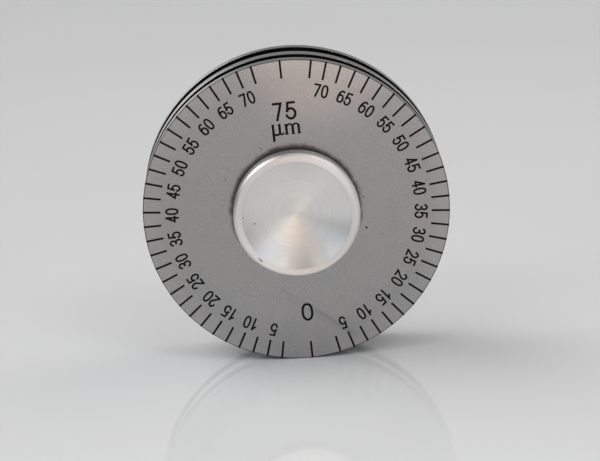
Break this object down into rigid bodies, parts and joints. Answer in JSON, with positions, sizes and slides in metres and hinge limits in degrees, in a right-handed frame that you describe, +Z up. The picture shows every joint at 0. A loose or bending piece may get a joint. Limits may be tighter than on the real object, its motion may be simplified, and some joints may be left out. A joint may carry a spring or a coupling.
{
  "type": "wet film thickness wheel gauge",
  "caption": "Rolling wheel gauge that reads wet paint film thickness, with two concentric rails, a lower middle rim, an engraved scale and finger grips on ball bearings.",
  "frame": {"origin": "centre of the wheel, halfway between its two faces", "axes": "+Z up as the gauge stands on its rim, +Y along the axle away from the scale, +X to the right as the scale is read"},
  "size_m": [0.05, 0.0206, 0.05],
  "materials": {
    "ground_steel": "hardened stainless steel, ground satin, marks engraved and filled black",
    "turned_aluminium": "fine turned, bright",
    "bearing_steel": "ground and polished",
    "pressed_steel": "pressed sheet, bright",
    "zinc_plated_steel": "zinc plated",
    "moulded_nylon": "moulded natural nylon"
  },
  "bodies": {
    "wheel": {"gauge_wheel": "ground_steel", "front_outer_race": "bearing_steel", "front_outboard_shield": "pressed_steel", "front_inboard_shield": "pressed_steel", "rear_outer_race": "bearing_steel", "rear_outboard_shield": "pressed_steel", "rear_inboard_shield": "pressed_steel"},
    "grips": {"front_grip": "turned_aluminium", "rear_grip": "turned_aluminium", "tie_stud": "zinc_plated_steel", "inner_spacer": "zinc_plated_steel", "front_inner_race": "bearing_steel", "rear_inner_race": "bearing_steel"},
    "front_cage": {"front_cage": "moulded_nylon"},
    "rear_cage": {"rear_cage": "moulded_nylon"},
    "front_ball_1": {"front_ball_1": "bearing_steel"},
    "front_ball_2": {"front_ball_2": "bearing_steel"},
    "front_ball_3": {"front_ball_3": "bearing_steel"},
    "front_ball_4": {"front_ball_4": "bearing_steel"},
    "front_ball_5": {"front_ball_5": "bearing_steel"},
    "front_ball_6": {"front_ball_6": "bearing_steel"},
    "front_ball_7": {"front_ball_7": "bearing_steel"},
    "front_ball_8": {"front_ball_8": "bearing_steel"},
    "front_ball_9": {"front_ball_9": "bearing_steel"},
    "rear_ball_1": {"rear_ball_1": "bearing_steel"},
    "rear_ball_2": {"rear_ball_2": "bearing_steel"},
    "rear_ball_3": {"rear_ball_3": "bearing_steel"},
    "rear_ball_4": {"rear_ball_4": "bearing_steel"},
    "rear_ball_5": {"rear_ball_5": "bearing_steel"},
    "rear_ball_6": {"rear_ball_6": "bearing_steel"},
    "rear_ball_7": {"rear_ball_7": "bearing_steel"},
    "rear_ball_8": {"rear_ball_8": "bearing_steel"},
    "rear_ball_9": {"rear_ball_9": "bearing_steel"}
  },
  "joints": [
    {"name": "grip_spin", "type": "hinge", "parent": "wheel", "child": "grips", "pos_m": [0, 0, 0], "axis": [0, 1, 0], "continuous": true},
    {"name": "front_cage_orbit", "type": "hinge", "parent": "wheel", "child": "front_cage", "pos_m": [0, -0.004, 0], "axis": [0, 1, 0], "continuous": true},
    {"name": "rear_cage_orbit", "type": "hinge", "parent": "wheel", "child": "rear_cage", "pos_m": [0, 0.004, 0], "axis": [0, 1, 0], "continuous": true},
    {"name": "front_ball_1_spin", "type": "hinge", "parent": "front_cage", "child": "front_ball_1", "pos_m": [0, -0.004, 0.006], "axis": [0, 1, 0], "continuous": true},
    {"name": "front_ball_2_spin", "type": "hinge", "parent": "front_cage", "child": "front_ball_2", "pos_m": [-0.00386, -0.004, 0.0046], "axis": [0, 1, 0], "continuous": true},
    {"name": "front_ball_3_spin", "type": "hinge", "parent": "front_cage", "child": "front_ball_3", "pos_m": [-0.00591, -0.004, 0.00104], "axis": [0, 1, 0], "continuous": true},
    {"name": "front_ball_4_spin", "type": "hinge", "parent": "front_cage", "child": "front_ball_4", "pos_m": [-0.0052, -0.004, -0.003], "axis": [0, 1, 0], "continuous": true},
    {"name": "front_ball_5_spin", "type": "hinge", "parent": "front_cage", "child": "front_ball_5", "pos_m": [-0.00205, -0.004, -0.00564], "axis": [0, 1, 0], "continuous": true},
    {"name": "front_ball_6_spin", "type": "hinge", "parent": "front_cage", "child": "front_ball_6", "pos_m": [0.00205, -0.004, -0.00564], "axis": [0, 1, 0], "continuous": true},
    {"name": "front_ball_7_spin", "type": "hinge", "parent": "front_cage", "child": "front_ball_7", "pos_m": [0.0052, -0.004, -0.003], "axis": [0, 1, 0], "continuous": true},
    {"name": "front_ball_8_spin", "type": "hinge", "parent": "front_cage", "child": "front_ball_8", "pos_m": [0.00591, -0.004, 0.00104], "axis": [0, 1, 0], "continuous": true},
    {"name": "front_ball_9_spin", "type": "hinge", "parent": "front_cage", "child": "front_ball_9", "pos_m": [0.00386, -0.004, 0.0046], "axis": [0, 1, 0], "continuous": true},
    {"name": "rear_ball_1_spin", "type": "hinge", "parent": "rear_cage", "child": "rear_ball_1", "pos_m": [0, 0.004, 0.006], "axis": [0, 1, 0], "continuous": true},
    {"name": "rear_ball_2_spin", "type": "hinge", "parent": "rear_cage", "child": "rear_ball_2", "pos_m": [0.00386, 0.004, 0.0046], "axis": [0, 1, 0], "continuous": true},
    {"name": "rear_ball_3_spin", "type": "hinge", "parent": "rear_cage", "child": "rear_ball_3", "pos_m": [0.00591, 0.004, 0.00104], "axis": [0, 1, 0], "continuous": true},
    {"name": "rear_ball_4_spin", "type": "hinge", "parent": "rear_cage", "child": "rear_ball_4", "pos_m": [0.0052, 0.004, -0.003], "axis": [0, 1, 0], "continuous": true},
    {"name": "rear_ball_5_spin", "type": "hinge", "parent": "rear_cage", "child": "rear_ball_5", "pos_m": [0.00205, 0.004, -0.00564], "axis": [0, 1, 0], "continuous": true},
    {"name": "rear_ball_6_spin", "type": "hinge", "parent": "rear_cage", "child": "rear_ball_6", "pos_m": [-0.00205, 0.004, -0.00564], "axis": [0, 1, 0], "continuous": true},
    {"name": "rear_ball_7_spin", "type": "hinge", "parent": "rear_cage", "child": "rear_ball_7", "pos_m": [-0.0052, 0.004, -0.003], "axis": [0, 1, 0], "continuous": true},
    {"name": "rear_ball_8_spin", "type": "hinge", "parent": "rear_cage", "child": "rear_ball_8", "pos_m": [-0.00591, 0.004, 0.00104], "axis": [0, 1, 0], "continuous": true},
    {"name": "rear_ball_9_spin", "type": "hinge", "parent": "rear_cage", "child": "rear_ball_9", "pos_m": [-0.00386, 0.004, 0.0046], "axis": [0, 1, 0], "continuous": true}
  ],
  "couplings": [
    {"joint": "front_cage_orbit", "follows": "grip_spin", "ratio": 0.40083},
    {"joint": "rear_cage_orbit", "follows": "grip_spin", "ratio": 0.40083},
    {"joint": "front_ball_1_spin", "follows": "grip_spin", "ratio": -2.4218},
    {"joint": "front_ball_2_spin", "follows": "grip_spin", "ratio": -2.4218},
    {"joint": "front_ball_3_spin", "follows": "grip_spin", "ratio": -2.4218},
    {"joint": "front_ball_4_spin", "follows": "grip_spin", "ratio": -2.4218},
    {"joint": "front_ball_5_spin", "follows": "grip_spin", "ratio": -2.4218},
    {"joint": "front_ball_6_spin", "follows": "grip_spin", "ratio": -2.4218},
    {"joint": "front_ball_7_spin", "follows": "grip_spin", "ratio": -2.4218},
    {"joint": "front_ball_8_spin", "follows": "grip_spin", "ratio": -2.4218},
    {"joint": "front_ball_9_spin", "follows": "grip_spin", "ratio": -2.4218},
    {"joint": "rear_ball_1_spin", "follows": "grip_spin", "ratio": -2.4218},
    {"joint": "rear_ball_2_spin", "follows": "grip_spin", "ratio": -2.4218},
    {"joint": "rear_ball_3_spin", "follows": "grip_spin", "ratio": -2.4218},
    {"joint": "rear_ball_4_spin", "follows": "grip_spin", "ratio": -2.4218},
    {"joint": "rear_ball_5_spin", "follows": "grip_spin", "ratio": -2.4218},
    {"joint": "rear_ball_6_spin", "follows": "grip_spin", "ratio": -2.4218},
    {"joint": "rear_ball_7_spin", "follows": "grip_spin", "ratio": -2.4218},
    {"joint": "rear_ball_8_spin", "follows": "grip_spin", "ratio": -2.4218},
    {"joint": "rear_ball_9_spin", "follows": "grip_spin", "ratio": -2.4218}
  ]
}
